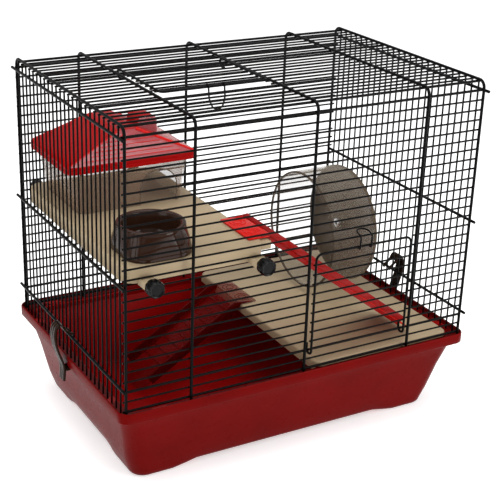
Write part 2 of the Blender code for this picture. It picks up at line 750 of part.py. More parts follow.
def add_wheel():
    """A running wheel, open to the left, that turns on a pin through the hub of its closed disc."""
    open_x, closed_x = WHEEL_X
    y, z = WHEEL_CENTRE
    width = closed_x - open_x
    outer = WHEEL_RADIUS
    wall = 0.0018
    lip = 0.0040
    bore = PIN_RADIUS + GAP
    profile = [
        (bore, 0.0),
        (bore, 0.0080),
        (0.0080, 0.0080),
        (0.0090, wall),
        (outer - wall - 0.0040, wall),
        (outer - wall, 0.0060),
        (outer - wall, width - 0.0015),
        (outer - lip, width - 0.0015),
        (outer - lip, width),
        (outer, width),
        (outer, 0.0040),
        (outer - 0.0040, 0.0),
    ]
    turned_part("wheel_drum", profile, SMOKE, along_x(closed_x, y, z), 40)
    pin = [(closed_x - 0.0125, y, z), (closed_x + 0.0120, y, z)]
    axle = part("wheel_axle", rods([pin], PIN_RADIUS, 12), STEEL)
    join(axle, rods([((closed_x - 0.0125, y, z), (closed_x - 0.0083, y, z))], 0.0055, 12))
    add_wheel_bracket(y, z, closed_x)


def add_wheel_bracket(y, z, closed_x):
    """The plate clipped to the side grille's bars that carries the wheel's pin."""
    back = SIDE_BAR_X - BAR_RADIUS - GAP
    boss_x = closed_x + 0.0015
    sheet = box((back - 0.0030, y - 0.012, z - 0.018), (back, y + 0.012, z + 0.018))
    plate = part("wheel_bracket", sheet, SMOKE)
    join(plate, rods([((boss_x, y, z), (back - 0.0010, y, z))], 0.0095, 20))
    cut(plate, rods([((boss_x - 0.002, y, z), (closed_x + 0.0125, y, z))], PIN_RADIUS + GAP, 12))


def build():
    add_tray()
    add_face_grille("front_grille", -1, range(FRONT_DOOR_ROWS[0] + 1, FRONT_DOOR_ROWS[1] + 1))
    add_face_grille("back_grille", 1)
    add_top_grille()
    add_side_grille("left_grille", -1)
    add_side_grille("right_grille", 1)
    add_front_door()
    add_front_latch()
    add_top_door()
    add_top_latch()
    add_clip("left_clip", -1)
    add_clip("right_clip", 1)
    add_upper_shelf()
    add_lower_shelf()
    for face, side in (("front", -1), ("back", 1)):
        for hand, x in zip(("left", "right"), CLAMP_XS):
            add_clamp_knob("clamp_knob_" + face + "_" + hand, x, side)
    add_ladders()
    add_house()
    add_bowl()
    add_wheel()


build()
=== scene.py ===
"""The hamster cage's looks: drawn wire, moulded plastic and soft studio light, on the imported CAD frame.

Metres, +Z up, the front faces -Y. Each section builds the pieces of one part of the cage in mesh or curve
code from the CAD nodes' own boxes, and they stand for those nodes.
"""

import json
from math import atan2, cos, pi, radians, sin

import bmesh
import bpy
from mathutils import Matrix, Vector


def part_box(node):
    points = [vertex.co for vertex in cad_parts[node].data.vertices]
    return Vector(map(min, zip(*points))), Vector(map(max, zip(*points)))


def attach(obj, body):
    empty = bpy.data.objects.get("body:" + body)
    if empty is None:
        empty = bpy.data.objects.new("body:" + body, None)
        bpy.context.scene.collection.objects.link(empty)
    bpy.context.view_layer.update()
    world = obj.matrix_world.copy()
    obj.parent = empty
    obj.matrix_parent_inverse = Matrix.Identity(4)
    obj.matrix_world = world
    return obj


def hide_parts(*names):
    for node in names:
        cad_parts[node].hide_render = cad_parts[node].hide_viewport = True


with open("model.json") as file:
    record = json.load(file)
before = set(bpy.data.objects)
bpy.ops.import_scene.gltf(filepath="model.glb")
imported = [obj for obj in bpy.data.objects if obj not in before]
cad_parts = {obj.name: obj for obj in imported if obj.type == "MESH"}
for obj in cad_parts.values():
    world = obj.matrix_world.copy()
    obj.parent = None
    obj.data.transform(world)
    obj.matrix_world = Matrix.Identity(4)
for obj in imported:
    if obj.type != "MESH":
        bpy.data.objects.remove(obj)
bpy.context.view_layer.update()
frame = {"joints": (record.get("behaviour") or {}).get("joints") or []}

# Dimensions of the wire, which no box gives
HOOP_RADIUS = 0.0016
BORDER_RADIUS = 0.0014
BAR_RADIUS = 0.0010
DOOR_RADIUS = 0.0013
LATCH_RADIUS = 0.0009
LATCH_BEND = 0.0035
BAR_PITCH = 0.0108
HOOP_BEND = 0.008
WELD = 0.0002  # how far one wire sinks into the next where they are welded
FIRST_ROW = 0.0962
LAST_ROW = 26
TOP_ROWS = range(-12, 13)
FRONT_DOOR_ROWS = (2, 12)
TOP_DOOR_ROWS = (-5, 4)
HOOK_RADIUS = 0.0045
SIDE_RAIL_HEIGHTS = (0.121, 0.230, 0.376)
STUB = HOOP_RADIUS + 0.0008  # from the middle of a hoop wire to the end of a bar welded to it
DOOR_STUB = 0.0015  # the same for the doors' bars, from the middle of the frame's wire

# Half the size of a weld bead: along its bar, across it and out from it
BEAD_ALONG = 0.0016
DOOR_BEAD_ALONG = 0.0014
BEAD_ACROSS = 0.0011
BEAD_OUT = 0.0007

# Dimensions that no CAD box gives
RIM_BAND = 0.012
FEET_HEIGHT = 0.0055
CLIP_WIDTH = 0.014
CLIP_HALF_THICKNESS = 0.0012
CLIP_GROOVE = 0.00035
CLIP_LINE = (
    (0.0062, 0.0085),
    (0.0085, 0.0130),
    (0.0118, 0.0148),
    (0.0153, 0.0120),
    (0.0175, 0.0040),
    (0.0165, -0.0080),
    (0.0130, -0.0200),
    (0.0085, -0.0320),
    (0.0075, -0.0400),
    (0.0085, -0.0520),
)
CLAW_X = (0.2092, 0.2168)
CLAW_Z = (0.0800, 0.0830)
SHELF_EDGE = 0.0022
KNOB_SEAT = 0.1478  # from the cage's middle plane to the inner face of a knob
KNOB_SCALLOP = 0.055
KNOB_LOBES = 8
LADDER_THICKNESS = 0.0020
LADDER_CORNER = 0.014
LADDER_RIB_PITCH = 0.0145
PLATE_RINGS = (0.0045, 0.0085)
HOUSE_WALL = 0.0018
HOUSE_FOOT_INSET = (0.009, 0.003)
DOORWAY_X = -0.0950
DOORWAY_RADIUS = 0.0215
DOORWAY_SPRING = 0.017  # how high above the floor the doorway's arch starts
ROOF_BAND = 0.008
ROOF_RISE = 0.035
ROOF_CORNER = 0.009
ROOF_TOP_HALF = (0.0100, 0.0375)
CHIMNEY_HALF = 0.0115
CHIMNEY_DEPTH = 0.014
CHIMNEY_ROUNDING = 0.007
CHIMNEY_RISE = 0.030
DRUM_WALL = 0.0016
PIN_RADIUS = 0.0030
PIN_LENGTH = 0.0245
PIN_HEAD_RADIUS = 0.0055
BOSS_RADIUS = 0.0095
BOSS_BORE = 0.0036
WHEEL_STEPS = 96

# Places that come from the CAD boxes
WIRE_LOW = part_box("front_grille")[0]
TOP_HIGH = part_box("top_grille")[1]
HALF_X = TOP_HIGH.x - HOOP_RADIUS
HALF_Y = TOP_HIGH.y - HOOP_RADIUS
CAGE_TOP = TOP_HIGH.z - HOOP_RADIUS
WIRE_FOOT = WIRE_LOW.z
HOOP_XS = (-HALF_X, -0.1335, 0.0, 0.1335, HALF_X)
BAR_Y = HALF_Y - HOOP_RADIUS - BAR_RADIUS + WELD
BORDER_Y = HALF_Y - HOOP_RADIUS - BORDER_RADIUS + 4 * WELD
BAR_Z = CAGE_TOP - HOOP_RADIUS - BAR_RADIUS + WELD
BORDER_Z = CAGE_TOP - HOOP_RADIUS - BORDER_RADIUS + 4 * WELD


def joint_place(name):
    """The point that a joint of the record turns about."""
    return Vector(next(joint["pos_m"] for joint in frame["joints"] if joint["name"] == name))


def row_height(row):
    return FIRST_ROW + BAR_PITCH * row


# Materials


def add_noise(tree, scale, detail, space):
    noise = tree.nodes.new("ShaderNodeTexNoise")
    noise.inputs["Scale"].default_value = scale
    noise.inputs["Detail"].default_value = detail
    tree.links.new(space.outputs["Object"], noise.inputs["Vector"])
    return noise


def add_ramp(tree, factor, stops):
    ramp = tree.nodes.new("ShaderNodeValToRGB")
    tree.links.new(factor, ramp.inputs["Fac"])
    for element, (place, colour) in zip(ramp.color_ramp.elements, stops):
        element.position = place
        element.color = (*colour, 1)
    return ramp


def moulded(name, colour, roughness, grain=0.15, tone=0.12, cloud=18.0, **constants):
    """A plastic or enamel: clouded colour, uneven polish and a fine moulded skin."""
    made = bpy.data.materials.new(name)
    made.use_nodes = True
    tree = made.node_tree
    shader = tree.nodes["Principled BSDF"]
    space = tree.nodes.new("ShaderNodeTexCoord")
    wide = add_noise(tree, cloud, 3.0, space)
    darker = [channel * (1 - tone) for channel in colour]
    lighter = [min(1.0, channel * (1 + tone)) for channel in colour]
    ramp = add_ramp(tree, wide.outputs["Fac"], ((0.3, darker), (0.7, lighter)))
    tree.links.new(ramp.outputs["Color"], shader.inputs["Base Color"])
    polish = tree.nodes.new("ShaderNodeMapRange")
    polish.inputs["To Min"].default_value = roughness * 0.8
    polish.inputs["To Max"].default_value = roughness * 1.25
    patches = add_noise(tree, cloud * 6, 4.0, space)
    tree.links.new(patches.outputs["Fac"], polish.inputs["Value"])
    tree.links.new(polish.outputs["Result"], shader.inputs["Roughness"])
    skin = add_noise(tree, 900.0, 2.0, space)
    bump = tree.nodes.new("ShaderNodeBump")
    bump.inputs["Strength"].default_value = grain
    bump.inputs["Distance"].default_value = 0.0002
    tree.links.new(skin.outputs["Fac"], bump.inputs["Height"])
    tree.links.new(bump.outputs["Normal"], shader.inputs["Normal"])
    for socket, value in constants.items():
        shader.inputs[socket.replace("_", " ")].default_value = value
    return made


def see_through(name, colour, roughness, least, most, **constants):
    """A tinted clear plastic: it lets light through face on and closes up towards its edges."""
    made = moulded(name, colour, roughness, grain=0.0, tone=0.03, **constants)
    tree = made.node_tree
    edge = tree.nodes.new("ShaderNodeLayerWeight")
    edge.inputs["Blend"].default_value = 0.35
    cover = tree.nodes.new("ShaderNodeMapRange")
    cover.inputs["To Min"].default_value = least
    cover.inputs["To Max"].default_value = most
    tree.links.new(edge.outputs["Facing"], cover.inputs["Value"])
    tree.links.new(cover.outputs["Result"], tree.nodes["Principled BSDF"].inputs["Alpha"])
    return made


WIRE = moulded("black_enamel", (0.0022, 0.0020, 0.0020), 0.34, 0.1, cloud=60.0, Specular_IOR_Level=0.05)
RED = moulded("red_tray_plastic", (0.112, 0.0016, 0.0014), 0.28, grain=0.06, Specular_IOR_Level=0.02)
# A brighter copy of the tray's red for its inner faces: painted light, standing in for the light that
# reaches into the tub.
RED_INSIDE_PAINTED_LIGHT = moulded("red_tray_inside_painted_light", (0.31, 0.0036, 0.0036), 0.30, grain=0.06, Specular_IOR_Level=0.04)
LADDER_RED = see_through("ladder_red", (0.60, 0.0080, 0.0040), 0.12, 0.93, 1.0, Specular_IOR_Level=0.12)
LADDER_DEEP = see_through("ladder_deep_red", (0.16, 0.003, 0.002), 0.12, 0.22, 0.6, Specular_IOR_Level=0.10)
LADDER_EDGE = moulded("ladder_edge_red", (0.26, 0.0040, 0.0030), 0.16, 0.03, Specular_IOR_Level=0.12)
DEEP_EDGE = moulded("ladder_deep_edge", (0.085, 0.0020, 0.0015), 0.16, 0.03, Specular_IOR_Level=0.06)
ROOF_RED = see_through("roof_red", (0.33, 0.0025, 0.0025), 0.18, 0.985, 1.0, Specular_IOR_Level=0.04)
ROOF_RIB = moulded("roof_rib_red", (0.55, 0.0060, 0.0050), 0.25, 0.05, Specular_IOR_Level=0.2)
# A paler, more see-through copy of the roof red: a painted reflection of the bright studio on the roof's
# front slope, also used on the chimney's faces.
ROOF_PAINTED_REFLECTION = see_through("roof_pale_painted_reflection", (0.46, 0.10, 0.11), 0.15, 0.66, 0.9, Specular_IOR_Level=0.3)
BEIGE = moulded("beige_plastic", (0.385, 0.295, 0.185), 0.34, 0.08, tone=0.06, Specular_IOR_Level=0.12)
BROWN = moulded("bowl_brown", (0.026, 0.0105, 0.0058), 0.10, 0.0, tone=0.04, Specular_IOR_Level=0.18)
CLIP_BROWN = moulded("clip_brown", (0.016, 0.0075, 0.0042), 0.20, 0.03, Specular_IOR_Level=0.06)
KNOB_BLACK = moulded("knob_black", (0.0020, 0.0020, 0.0020), 0.20, 0.03, Specular_IOR_Level=0.12)
CLEAR = see_through("clear_plastic", (0.27, 0.175, 0.115), 0.06, 0.20, 0.60, Specular_IOR_Level=0.3)
CLEAR_EDGE = moulded("clear_edge", (0.13, 0.10, 0.08), 0.10, 0.0, Specular_IOR_Level=0.4)
DRUM_CLEAR = see_through("drum_plastic", (0.30, 0.26, 0.21), 0.30, 0.05, 0.50, Specular_IOR_Level=0.08)
SMOKE = see_through("smoke_plastic", (0.088, 0.064, 0.041), 0.10, 0.93, 0.98, Specular_IOR_Level=0.10)
BRACKET_CLEAR = see_through("bracket_plastic", (0.55, 0.52, 0.48), 0.08, 0.10, 0.50, Specular_IOR_Level=0.4)
STEEL = moulded("steel_pin", (0.60, 0.60, 0.61), 0.28, grain=0.10, tone=0.05, Metallic=1.0)


# Shapes


def mesh_of(bm, name):
    bmesh.ops.recalc_face_normals(bm, faces=bm.faces)
    mesh = bpy.data.meshes.new(name)
    bm.to_mesh(mesh)
    bm.free()
    return mesh


def box_mesh(low, high, edge=0.0006):
    """A block with softened edges."""
    bm = bmesh.new()
    size = Vector(high) - Vector(low)
    place = Matrix.Translation((Vector(high) + Vector(low)) / 2) @ Matrix.Diagonal((*size, 1))
    bmesh.ops.create_cube(bm, size=1, matrix=place)
    bmesh.ops.bevel(bm, geom=bm.edges[:], offset=edge, segments=2, affect="EDGES", profile=0.6)
    return mesh_of(bm, "block")


def arc(centre, radius, start, end, steps):
    """Points on a flat arc, from one angle to another in degrees."""
    turns = [radians(start + (end - start) * step / steps) for step in range(steps + 1)]
    return [(centre[0] + radius * cos(turn), centre[1] + radius * sin(turn)) for turn in turns]


def ring(centre, half, corner, height, steps=10, along=1):
    """Points around a level rectangle with round corners, its straight sides cut into equal lengths."""
    points = []
    for quarter, (side_x, side_y) in enumerate(((1, 1), (-1, 1), (-1, -1), (1, -1))):
        for step in range(steps + 1):
            turn = (quarter + step / steps) * pi / 2
            x = centre[0] + side_x * (half[0] - corner) + corner * cos(turn)
            y = centre[1] + side_y * (half[1] - corner) + corner * sin(turn)
            points.append(Vector((x, y, height)))
        last = points[-1]
        following = ((-1, 1), (-1, -1), (1, -1), (1, 1))[quarter]
        turn = (quarter + 1) * pi / 2
        x = centre[0] + following[0] * (half[0] - corner) + corner * cos(turn)
        y = centre[1] + following[1] * (half[1] - corner) + corner * sin(turn)
        target = Vector((x, y, height))
        points += [last.lerp(target, step / along) for step in range(1, along)]
    return points


def loft(rings, round_again=False):
    """A closed skin through rings of equal count, capped at both ends or run back to the first ring."""
    bm = bmesh.new()
    loops = [[bm.verts.new(point) for point in points] for points in rings]
    pairs = list(zip(loops, loops[1:]))
    if round_again:
        pairs.append((loops[-1], loops[0]))
    else:
        bm.faces.new(loops[0])
        bm.faces.new(loops[-1])
    for lower, upper in pairs:
        for i, corner in enumerate(lower):
            j = (i + 1) % len(lower)
            bm.faces.new((corner, lower[j], upper[j], upper[i]))
    return mesh_of(bm, "loft")


def rounded(line, radius, steps=4):
    """A flat line with its inner corners rounded off, so that a lofted edge catches the light."""
    made = [Vector(line[0])]
    for before, here, after in zip(line, line[1:], line[2:]):
        before, here, after = Vector(before), Vector(here), Vector(after)
        reach = min(radius, (before - here).length / 2.2, (after - here).length / 2.2)
        enter = here + (before - here).normalized() * reach
        leave = here + (after - here).normalized() * reach
        for step in range(steps + 1):
            t = step / steps
            made.append(enter * (1 - t) ** 2 + here * 2 * t * (1 - t) + leave * t**2)
    made.append(Vector(line[-1]))
    return made


def turned(profile, steps, place, round_again=True):
    """A ring-shaped or solid form turned from (radius, height) points, put in its place."""
    rings = []
    for radius, height in profile:
        turns = [2 * pi * step / steps for step in range(steps)]
        rings.append([Vector((radius * cos(turn), radius * sin(turn), height)) for turn in turns])
    mesh = loft(rings, round_again)
    mesh.transform(place)
    return mesh


def joined(meshes, name):
    """Several meshes as one, without a Boolean."""
    bm = bmesh.new()
    for mesh in meshes:
        bm.from_mesh(mesh)
        bpy.data.meshes.remove(mesh)
    made = bpy.data.meshes.new(name)
    bm.to_mesh(made)
    bm.free()
    return made


def prism(outline, low, high, place, edge=0.0004):
    """A flat outline thickened from low to high along its own Z, with softened edges."""
    bm = bmesh.new()
    face = bm.faces.new([bm.verts.new((x, y, low)) for x, y in outline])
    moved = bmesh.ops.extrude_face_region(bm, geom=[face])["geom"]
    lifted = [made for made in moved if isinstance(made, bmesh.types.BMVert)]
    bmesh.ops.translate(bm, verts=lifted, vec=(0, 0, high - low))
    sharp = [e for e in bm.edges if len(e.link_faces) == 2 and e.calc_face_angle(0) > 0.9]
    bmesh.ops.bevel(bm, geom=sharp, offset=edge, segments=2, affect="EDGES", profile=0.6)
    mesh = mesh_of(bm, "prism")
    mesh.transform(place)
    return mesh


def upright(y):
    """Stands an outline up: its x stays X, its y becomes Z and its thickness runs along -Y."""
    return Matrix.Translation((0, y, 0)) @ Matrix.Rotation(pi / 2, 4, "X")


def show(name, data, look, body, slot, *nodes, angle=35):
    """Adds a piece with its look, riding on its body and standing for the given nodes."""
    made = bpy.data.objects.new(name, data)
    bpy.context.scene.collection.objects.link(made)
    data.materials.append(look)
    if isinstance(data, bpy.types.Mesh):
        data.shade_smooth()
        data.set_sharp_from_angle(angle=radians(angle))
    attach(made, body)
    if nodes:
        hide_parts(*nodes)
    return made


def wires(name, paths, body, *nodes):
    """Round enamelled wires, each a (radius, points) pair, as one piece."""
    curve = bpy.data.curves.new(name, "CURVE")
    curve.dimensions = "3D"
    curve.bevel_depth = BAR_RADIUS
    curve.bevel_resolution = 3
    curve.use_fill_caps = True
    for radius, points in paths:
        line = curve.splines.new("POLY")
        line.points.add(len(points) - 1)
        line.use_smooth = True
        for spot, place in zip(line.points, points):
            spot.co = (*place, 1)
            spot.radius = radius / BAR_RADIUS
    return show(name, curve, WIRE, body, "wire", *nodes)


def weld_beads(name, spots, body):
    """The flattened beads of metal where bars are welded to the wires they cross."""
    bm = bmesh.new()
    for spot, stretch in spots:
        place = Matrix.Translation(spot) @ Matrix.Diagonal((*stretch, 1))
        bmesh.ops.create_icosphere(bm, subdivisions=1, radius=1, matrix=place)
    return show(name, mesh_of(bm, name), WIRE, body, "wire", angle=80)


# The wire top


def face_grille(name, side, door_rows):
    """The front or back: hoop legs, border bars and thin bars, cut short at the door."""
    leg_top = CAGE_TOP - HOOP_BEND
    paths = [(HOOP_RADIUS, [(x, side * HALF_Y, WIRE_FOOT), (x, side * HALF_Y, leg_top)]) for x in HOOP_XS]
    beads = []
    borders = {0, FRONT_DOOR_ROWS[0], LAST_ROW}
    for row in range(LAST_ROW + 1):
        z = row_height(row)
        radius, y = (BORDER_RADIUS, side * BORDER_Y) if row in borders else (BAR_RADIUS, side * BAR_Y)
        if row in door_rows:
            spans = [(-HALF_X - STUB, HOOP_XS[2] + STUB), (HOOP_XS[3] - STUB, HALF_X + STUB)]
        else:
            spans = [(-HALF_X - STUB, HALF_X + STUB)]
        for start, end in spans:
            paths.append((radius, [(start, y, z), (end, y, z)]))
        weld_y = side * (HALF_Y - HOOP_RADIUS - WELD)
        beads += [((x, weld_y, z), (BEAD_ALONG, BEAD_OUT, BEAD_ACROSS)) for x in HOOP_XS]
    wires(name + "_wires", paths, "cage", name)
    weld_beads(name + "_welds", beads, "cage")


def top_grille():
    """The hoops' bends and top runs with the rows of bars under them, cut short at the door."""
    paths = []
    for x in HOOP_XS:
        middle, height = HALF_Y - HOOP_BEND, CAGE_TOP - HOOP_BEND
        bend = arc((-middle, height), HOOP_BEND, 180, 90, 8) + arc((middle, height), HOOP_BEND, 90, 0, 8)
        paths.append((HOOP_RADIUS, [(x, y, z) for y, z in bend]))
    beads = []
    first, last = TOP_DOOR_ROWS
    for row in TOP_ROWS:
        y = BAR_PITCH * row
        border = row in (TOP_ROWS[0], last, TOP_ROWS[-1])
        radius, z = (BORDER_RADIUS, BORDER_Z) if border else (BAR_RADIUS, BAR_Z)
        if first <= row < last:
            spans = [(-HALF_X - STUB, HOOP_XS[1] + STUB), (HOOP_XS[2] - STUB, HALF_X + STUB)]
        else:
            spans = [(-HALF_X - STUB, HALF_X + STUB)]
        for start, end in spans:
            paths.append((radius, [(start, y, z), (end, y, z)]))
        weld_z = CAGE_TOP - HOOP_RADIUS - WELD
        beads += [((x, y, weld_z), (BEAD_ALONG, BEAD_ACROSS, BEAD_OUT)) for x in HOOP_XS]
    wires("top_grille_wires", paths, "cage", "top_grille")
    weld_beads("top_grille_welds", beads, "cage")


def side_grille(name, side):
    """An end panel: upright bars behind heavier rails, whose ends pass the corners."""
    low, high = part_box(name)
    rail_x = side * (max(abs(low.x), abs(high.x)) - HOOP_RADIUS)
    bar_x = rail_x - side * (HOOP_RADIUS + BAR_RADIUS - WELD)
    paths = [(HOOP_RADIUS, [(rail_x, low.y, z), (rail_x, high.y, z)]) for z in SIDE_RAIL_HEIGHTS]
    beads = []
    for row in TOP_ROWS:
        y = BAR_PITCH * row
        paths.append((BAR_RADIUS, [(bar_x, y, low.z), (bar_x, y, high.z)]))
        weld_x = rail_x - side * (HOOP_RADIUS + WELD)
        beads += [((weld_x, y, z), (BEAD_OUT, BEAD_ACROSS, BEAD_ALONG)) for z in SIDE_RAIL_HEIGHTS]
    wires(name + "_wires", paths, "cage", name)
    weld_beads(name + "_welds", beads, "cage")


# The doors and their latches


def front_door():
    """A frame with round top corners whose feet hook around the grille's bar, and its thin bars."""
    low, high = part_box("front_door")
    hinge = joint_place("front_door_hinge")
    left, right = low.x + DOOR_RADIUS, high.x - DOOR_RADIUS
    plane, top = low.y + DOOR_RADIUS, high.z - DOOR_RADIUS
    corner = 0.007
    hook = arc((hinge.y, hinge.z), HOOK_RADIUS, 180, 360, 12)
    foot = hook + [(hinge.y + HOOK_RADIUS, hinge.z + 0.006)]
    down = [(left, y, z) for y, z in foot][::-1]
    up = [(right, y, z) for y, z in foot]
    over = arc((left + corner, top - corner), corner, 180, 90, 8)
    over += arc((right - corner, top - corner), corner, 90, 0, 8)
    paths = [(DOOR_RADIUS, down + [(x, plane, z) for x, z in over] + up)]
    bar_y = plane + DOOR_RADIUS + BAR_RADIUS - WELD
    bead = (DOOR_BEAD_ALONG, BEAD_OUT, BEAD_ACROSS)
    beads = []
    for row in range(FRONT_DOOR_ROWS[0] + 1, FRONT_DOOR_ROWS[1]):
        z = row_height(row)
        paths.append((BAR_RADIUS, [(left - DOOR_STUB, bar_y, z), (right + DOOR_STUB, bar_y, z)]))
        beads += [((x, plane + DOOR_RADIUS, z), bead) for x in (left, right)]
    wires("front_door_wires", paths, "front_door", "front_door")
    weld_beads("front_door_welds", beads, "front_door")


def top_door():
    """A frame on the cage's top whose ends hook around the grille's bar, and its thin bars."""
    low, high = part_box("top_door")
    hinge = joint_place("top_door_hinge")
    left, right = low.x + DOOR_RADIUS, high.x - DOOR_RADIUS
    plane = high.z - DOOR_RADIUS
    front = BAR_PITCH * TOP_DOOR_ROWS[0]
    corner = 0.005
    hook = arc((hinge.y, hinge.z), HOOK_RADIUS, 90, -90, 12)
    foot = hook + [(hinge.y - 0.005, hinge.z - HOOK_RADIUS)]
    start = [(left, y, z) for y, z in foot][::-1]
    finish = [(right, y, z) for y, z in foot]
    across = arc((left + corner, front + corner), corner, 180, 270, 8)
    across += arc((right - corner, front + corner), corner, 270, 360, 8)
    paths = [(DOOR_RADIUS, start + [(x, y, plane) for x, y in across] + finish)]
    bar_z = plane - DOOR_RADIUS - BAR_RADIUS + WELD
    bead = (DOOR_BEAD_ALONG, BEAD_ACROSS, BEAD_OUT)
    beads = []
    for row in range(TOP_DOOR_ROWS[0] + 1, TOP_DOOR_ROWS[1]):
        y = BAR_PITCH * row
        paths.append((BAR_RADIUS, [(left - DOOR_STUB, y, bar_z), (right + DOOR_STUB, y, bar_z)]))
        beads += [((x, y, plane - DOOR_RADIUS), bead) for x in (left, right)]
    wires("top_door_wires", paths, "top_door", "top_door")
    weld_beads("top_door_welds", beads, "top_door")


def latch(name, pivot, width, side, tip):
    """A spring wire loop, bent from one piece: two round feet, two arms and a tip."""
    half = [pivot + Vector((-width / 2, *step)) for step in side]
    other = [pivot + Vector((width / 2, *step)) for step in side][::-1]
    ends = [pivot + Vector((across, *tip[1])) for across in (-tip[0], tip[0])]
    wires(name + "_wire", [(LATCH_RADIUS, rounded(half + ends + other, LATCH_BEND))], name, name)


def latches():
    foot = DOOR_RADIUS + LATCH_RADIUS + 0.0002
    hook = arc((0, 0), foot, -60, -180, 8)
    arm = [(-foot, 0.0085), (-0.0020, 0.0112), (0.0006, 0.0128), (0.0060, 0.0143)]
    pivot = joint_place("front_latch_pivot")
    latch("front_latch", pivot, 0.0139, hook + arm, (0.0035, (0.0103, 0.0150)))
    hook = arc((0, 0), foot, 0, 180, 8)
    arm = [(-foot - 0.0018, -0.012)]
    pivot = joint_place("top_latch_pivot")
    latch("top_latch", pivot, 0.018, hook + arm, (0.0050, (-0.0058, -0.0215)))


# The tray and its clips


def tray():
    """A deep tub with a rounded rim band, slightly bowed walls and four long feet."""
    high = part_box("tray")[1]
    rim_x, rim_y, height = high
    under = height - RIM_BAND
    ledge = WIRE_FOOT - 0.0003
    section = [  # (half x, half y, corner, height)
        (0.150, 0.085, 0.010, 0.0060),
        (0.172, 0.104, 0.012, 0.0055),
        (0.1790, 0.1112, 0.013, 0.0000),
        (0.1815, 0.1137, 0.0135, 0.0002),
        (0.1836, 0.1158, 0.0145, 0.0012),
        (0.1852, 0.1174, 0.0155, 0.0032),
        (0.1866, 0.1186, 0.0165, 0.0072),
        (0.1890, 0.1205, 0.0175, 0.0140),
        (0.1914, 0.1226, 0.0180, 0.0215),
        (0.1945, 0.1268, 0.0185, 0.0370),
        (0.1979, 0.1314, 0.0190, 0.0540),
        (0.2020, 0.1362, 0.0190, 0.0700),
        (0.2055, 0.1404, 0.0190, under - 0.0014),
        (0.2062, 0.1411, 0.0190, under - 0.0003),
        (rim_x - 0.0006, rim_y - 0.0006, 0.0125, under),
        (rim_x, rim_y, 0.012, under + 0.0008),
        (rim_x, rim_y, 0.012, height - 0.0014),
        (rim_x - 0.0003, rim_y - 0.0003, 0.012, height - 0.0005),
        (rim_x - 0.0009, rim_y - 0.0009, 0.0115, height),
        (rim_x - 0.0015, rim_y - 0.0015, 0.0108, height - 0.0004),
        (rim_x - 0.0018, rim_y - 0.0018, 0.0102, height - 0.0014),
        (rim_x - 0.0018, rim_y - 0.0018, 0.0102, ledge + 0.0006),
        (rim_x - 0.0024, rim_y - 0.0024, 0.0100, ledge),
        (0.1992, 0.1342, 0.0102, ledge),
        (0.1985, 0.1335, 0.010, ledge - 0.0007),
        (0.1985, 0.1335, 0.010, 0.0895),
        (0.1990, 0.1340, 0.0105, 0.0885),
        (0.2034, 0.1383, 0.017, 0.0820),
        (0.1954, 0.1288, 0.017, 0.0530),
        (0.1892, 0.1202, 0.016, 0.0215),
        (0.1856, 0.1172, 0.0150, 0.0115),
        (0.1838, 0.1156, 0.0140, 0.0090),
        (0.1810, 0.1130, 0.0120, 0.0080),
        (0.1500, 0.0850, 0.0100, 0.0078),
    ]
    rings = [ring((0, 0), (x, y), corner, z, 12, 24) for x, y, corner, z in section]

    def lift(x, y):
        """How far the edge stands off the floor between the feet."""
        across = min(1.0, max(0.0, (0.140 - abs(x)) / 0.028)) if abs(y) > 0.095 else 0.0
        along = min(1.0, max(0.0, (0.066 - abs(y)) / 0.022)) if abs(x) > 0.160 else 0.0
        share = max(across, along)
        return FEET_HEIGHT * share * share * (3 - 2 * share)

    for points in rings[2:8]:
        for point in points:
            room = max(0.0, 1 - point.z / 0.020)
            point.z += lift(point.x, point.y) * room
    shell = loft(rings)
    show("tray_shell", shell, RED, "cage", "tray", "tray", angle=50)
    # The inner faces below the ledge take the brighter red: painted light inside the tub, the same plastic
    # as outside.
    shell.materials.append(RED_INSIDE_PAINTED_LIGHT)
    for face in shell.polygons:
        outward = face.normal.x * face.center.x + face.normal.y * face.center.y
        on_floor = face.normal.z > 0.9 and face.center.z < 0.020
        inside = (outward < 0 or on_floor) and face.center.z < ledge
        face.material_index = int(inside)


def clip(name, side):
    """A springy strap with lengthwise grooves, over the rail and under the rim, with a finger tab."""
    pivot = joint_place(name + "_pivot")
    line = rounded(CLIP_LINE, 0.006, 3)
    steps = 28
    rings = []
    for i, point in enumerate(line):
        before, after = line[max(i - 1, 0)], line[min(i + 1, len(line) - 1)]
        run = (after - before).normalized()
        out = Vector((-run.y, run.x))
        if out.x < 0:
            out = -out
        loop = []
        for step in range(steps + 1):
            across = -1 + 2 * step / steps
            groove = CLIP_GROOVE * (1 - cos(across * pi * 3)) / 2
            edge = 0.0006 * max(0.0, abs(across) - 0.85) / 0.15
            loop.append((across * CLIP_WIDTH / 2, CLIP_HALF_THICKNESS - groove - edge))
        loop += [(across * CLIP_WIDTH / 2, -CLIP_HALF_THICKNESS) for across in (1, 0.5, 0, -0.5, -1)]
        points = []
        for y, lift in loop:
            x = side * (abs(pivot.x) + point.x + out.x * lift)
            points.append(Vector((x, y, pivot.z + point.y + out.y * lift)))
        rings.append(points)
    meshes = [loft(rings)]
    claw_y = CLIP_WIDTH / 2 - 0.001
    low_x, high_x = sorted(side * x for x in CLAW_X)
    meshes.append(box_mesh((low_x, -claw_y, CLAW_Z[0]), (high_x, claw_y, CLAW_Z[1])))
    hook = arc((0, 0), 0.0032, -160, -270, 10) + [(0.0070, 0.0095)]
    for y in (-BAR_PITCH / 2, BAR_PITCH / 2):
        outline = strip(hook, 0.0016)
        mesh = prism(outline, -0.0015, 0.0015, upright(0), edge=0.0002)
        mesh.transform(Matrix.Translation((abs(pivot.x), y, pivot.z)))
        if side < 0:
            mesh.transform(Matrix.Diagonal((-1, 1, 1, 1)))
        meshes.append(mesh)
    made = joined(meshes, name)
    fix_normals(made)
    show(name + "_strap", made, CLIP_BROWN, name, "clip", name, angle=50)


